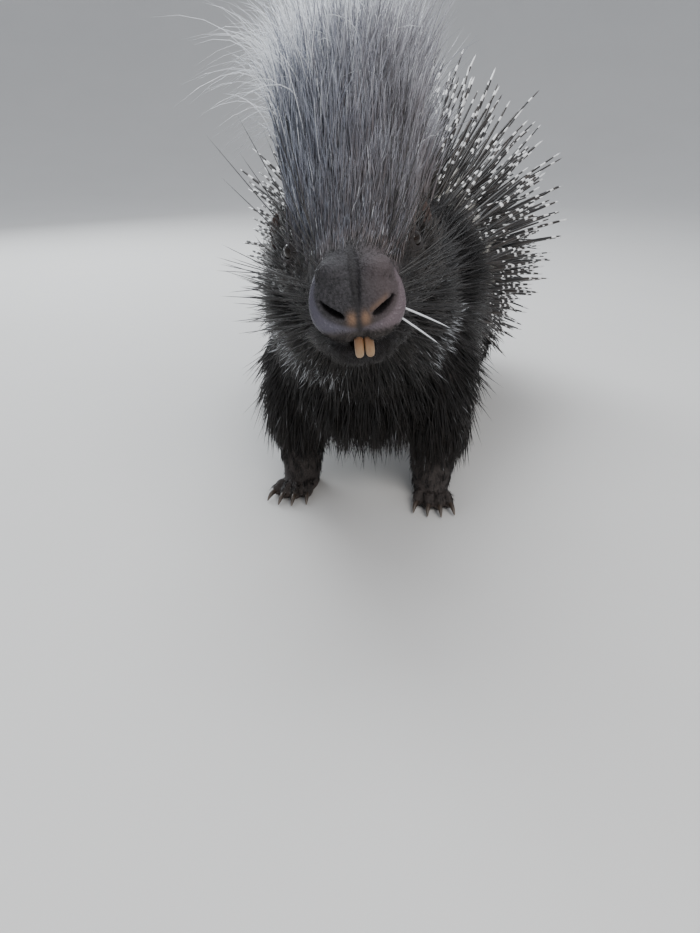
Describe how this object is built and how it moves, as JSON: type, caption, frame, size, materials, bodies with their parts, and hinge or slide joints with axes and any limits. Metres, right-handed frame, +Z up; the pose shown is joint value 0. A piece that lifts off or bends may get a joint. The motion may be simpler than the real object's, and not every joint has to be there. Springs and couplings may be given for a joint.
{
  "type": "crested porcupine",
  "caption": "Crested porcupine standing on four feet, head turned to its left, with a tall raised crest of bristles, fanned quills over the back, and a short quilled tail.",
  "frame": {"origin": "bottom centre of the whole model's box, at floor level between the four feet", "axes": "+Z up; +Y towards the tail, so the muzzle points to -Y; +X is the animal's left side"},
  "size_m": [0.4758, 0.9016, 0.5086],
  "materials": {
    "skin": "dark grey-brown skin under short fur, bare and purplish round the nostrils",
    "bristle": "black-brown bristly coat with grey-brown to white crest tips",
    "quill": "smooth horn, banded black-brown and white",
    "eye": "wet, near black",
    "tooth": "orange enamel",
    "claw": "dark horn"
  },
  "bodies": {
    "root": {"back": "quill", "ear_left": "skin", "ear_right": "skin", "eye_left": "eye", "eye_right": "eye", "foreclaw_left_1": "claw", "foreclaw_left_2": "claw", "foreclaw_left_3": "claw", "foreclaw_left_4": "claw", "foreclaw_right_1": "claw", "foreclaw_right_2": "claw", "foreclaw_right_3": "claw", "foreclaw_right_4": "claw", "forefoot_left": "skin", "forefoot_right": "skin", "foreleg_left": "bristle", "foreleg_right": "bristle", "head": "skin", "hindclaw_left_1": "claw", "hindclaw_left_2": "claw", "hindclaw_left_3": "claw", "hindclaw_left_4": "claw", "hindclaw_left_5": "claw", "hindclaw_right_1": "claw", "hindclaw_right_2": "claw", "hindclaw_right_3": "claw", "hindclaw_right_4": "claw", "hindclaw_right_5": "claw", "hindfoot_left": "skin", "hindfoot_right": "skin", "hindleg_left": "bristle", "hindleg_right": "bristle", "incisor_left": "tooth", "incisor_right": "tooth", "neck": "bristle", "shoulders": "bristle", "tail": "quill"}
  },
  "joints": []
}
